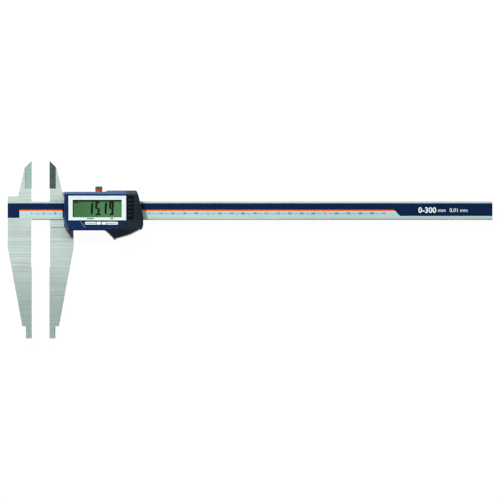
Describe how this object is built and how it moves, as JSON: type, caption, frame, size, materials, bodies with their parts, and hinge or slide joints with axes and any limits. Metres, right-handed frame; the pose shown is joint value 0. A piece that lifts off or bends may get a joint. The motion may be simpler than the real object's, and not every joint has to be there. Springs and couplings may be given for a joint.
{
  "type": "digital caliper",
  "caption": "Digital caliper: beam with scale, long nib jaws, short knife-edge jaws, sliding display unit, keys, thumb clamp and coin cell.",
  "frame": {"origin": "centre of the fixed long jaw's measuring face, which is the tool's zero datum", "axes": "+X out of the fixed measuring face and along the beam to its free end, +Y across the beam towards the short knife-edge jaws, +Z out of the display; the caliper lies on its back"},
  "size_m": [0.4131, 0.1515, 0.0163],
  "materials": {
    "steel": "satin ground steel",
    "screw_steel": "plated",
    "knob_metal": "dark plated, knurled",
    "bronze": "rolled",
    "contact_metal": "plated spring sheet",
    "board_laminate": "solder mask",
    "strip_film": "printed film",
    "navy_plastic": "satin moulded",
    "grip_plastic": "fine-grained moulded",
    "black_plastic": "moulded",
    "white_plastic": "glossy moulded",
    "orange_plastic": "satin",
    "black_rubber": "matt",
    "silicone": "matt",
    "chip_epoxy": "matt",
    "lcd_glass": "display glass, reflective backing",
    "window_clear": "clear",
    "cell_steel": "nickel plated"
  },
  "bodies": {
    "beam_assembly": {"beam": "steel", "encoder_scale": "board_laminate", "scale_strip": "strip_film", "end_stop": "steel", "end_stop_screws": "screw_steel"},
    "slider": {"slider_jaw": "steel", "gib_strip": "bronze", "gib_screws": "screw_steel", "housing_base": "black_plastic", "housing_cover": "navy_plastic", "thumb_grip": "grip_plastic", "housing_seal": "black_rubber", "housing_screws": "screw_steel", "wipers": "black_rubber", "read_head": "black_plastic", "circuit_board": "board_laminate", "board_chips": "chip_epoxy", "zebra_strips": "black_rubber", "lcd_holder": "black_plastic", "lcd_panel": "lcd_glass", "display_window": "window_clear", "bezel": "white_plastic", "key_mat": "silicone", "battery": "cell_steel", "battery_plus_contact": "contact_metal", "battery_minus_contact": "contact_metal", "battery_seal": "black_rubber"},
    "clamp_shoe": {"clamp_shoe": "bronze"},
    "clamp_screw": {"clamp_screw": "knob_metal", "clamp_ring": "orange_plastic"},
    "battery_lid": {"battery_lid": "grip_plastic"},
    "left_key": {"left_key": "white_plastic"},
    "right_key": {"right_key": "white_plastic"}
  },
  "joints": [
    {"name": "slider_travel", "type": "slide", "parent": "beam_assembly", "child": "slider", "axis": [1, 0, 0], "range_m": [-0.01519, 0.28481]},
    {"name": "clamp_advance", "type": "slide", "parent": "slider", "child": "clamp_shoe", "axis": [0, -1, 0], "range_m": [-0.0005, 0.00015]},
    {"name": "clamp_turn", "type": "hinge", "parent": "clamp_shoe", "child": "clamp_screw", "pos_m": [0.0572, 0.09665, 0], "axis": [0, -1, 0], "range_deg": [-360.5, 108.5]},
    {"name": "battery_lid_lift", "type": "slide", "parent": "slider", "child": "battery_lid", "axis": [0, 0, 1], "range_m": [0, 0.012]},
    {"name": "left_key_press", "type": "slide", "parent": "slider", "child": "left_key", "axis": [0, 0, -1], "range_m": [0, 0.0008], "stiffness_N_per_m": 1200, "springref_m": -0.0003},
    {"name": "right_key_press", "type": "slide", "parent": "slider", "child": "right_key", "axis": [0, 0, -1], "range_m": [0, 0.0008], "stiffness_N_per_m": 1200, "springref_m": -0.0003}
  ],
  "couplings": [
    {"joint": "clamp_turn", "follows": "clamp_advance", "rad_per_m": 12566}
  ]
}
